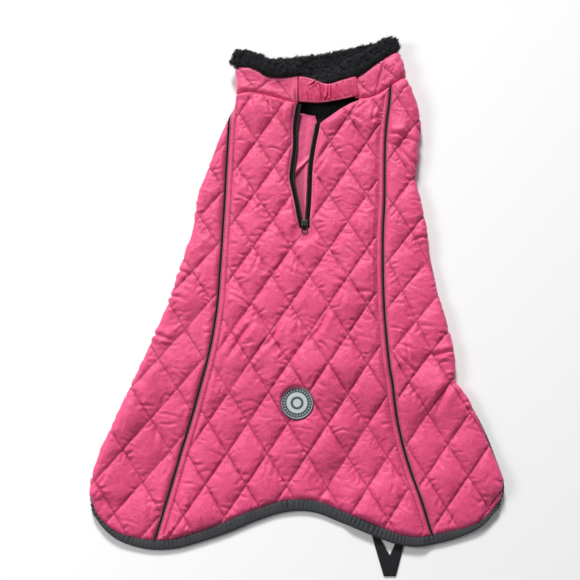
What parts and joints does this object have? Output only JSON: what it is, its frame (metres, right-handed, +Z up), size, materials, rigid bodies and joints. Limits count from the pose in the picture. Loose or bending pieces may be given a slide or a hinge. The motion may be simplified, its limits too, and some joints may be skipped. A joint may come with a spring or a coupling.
{
  "type": "dog winter coat",
  "caption": "Quilted dog coat laid flat: flared cape hem, fleece-lined stand collar, open neck zip with pull, reflective piping and an elastic leg loop.",
  "frame": {"origin": "centre of the coat's outline, on the surface that it lies on", "axes": "+Z up from the surface, +Y from the cape's hem to the collar, +X to the right as it lies with its back up"},
  "size_m": [0.4082, 0.5832, 0.0225],
  "materials": {
    "shell": "hot pink quilted nylon with a soft sheen",
    "sherpa": "charcoal sherpa pile",
    "lining": "matt black fleece cloth",
    "zip_tape": "black woven tape with coil teeth",
    "zip_metal": "black enamel, glossy",
    "piping": "dark grey reflective piping",
    "binding": "grey woven binding tape",
    "badge": "moulded grey badge with pale rings",
    "elastic": "black ribbed elastic"
  },
  "bodies": {
    "coat": {"back_panel": "shell", "side_left": "shell", "side_right": "shell", "belly_panel": "shell", "collar_left": "shell", "collar_right": "shell", "collar_under": "shell", "collar_tab": "shell", "zip_guard_upper": "shell", "zip_guard_lower": "shell", "fleece_front_left": "sherpa", "fleece_front_right": "sherpa", "fleece_back": "sherpa", "neck_lining": "lining", "zip_tape_left": "zip_tape", "zip_tape_right": "zip_tape", "zip_slider": "zip_metal", "piping_left": "piping", "piping_right": "piping", "hem_binding": "binding", "belly_binding": "binding", "badge": "badge", "leg_strap": "elastic"},
    "zip_pull": {"zip_pull": "zip_metal"}
  },
  "joints": [
    {"name": "pull_flip", "type": "hinge", "parent": "coat", "child": "zip_pull", "pos_m": [0.00934, 0.0635, 0.01381], "axis": [-1, 0, 0], "range_deg": [0, 180]}
  ]
}
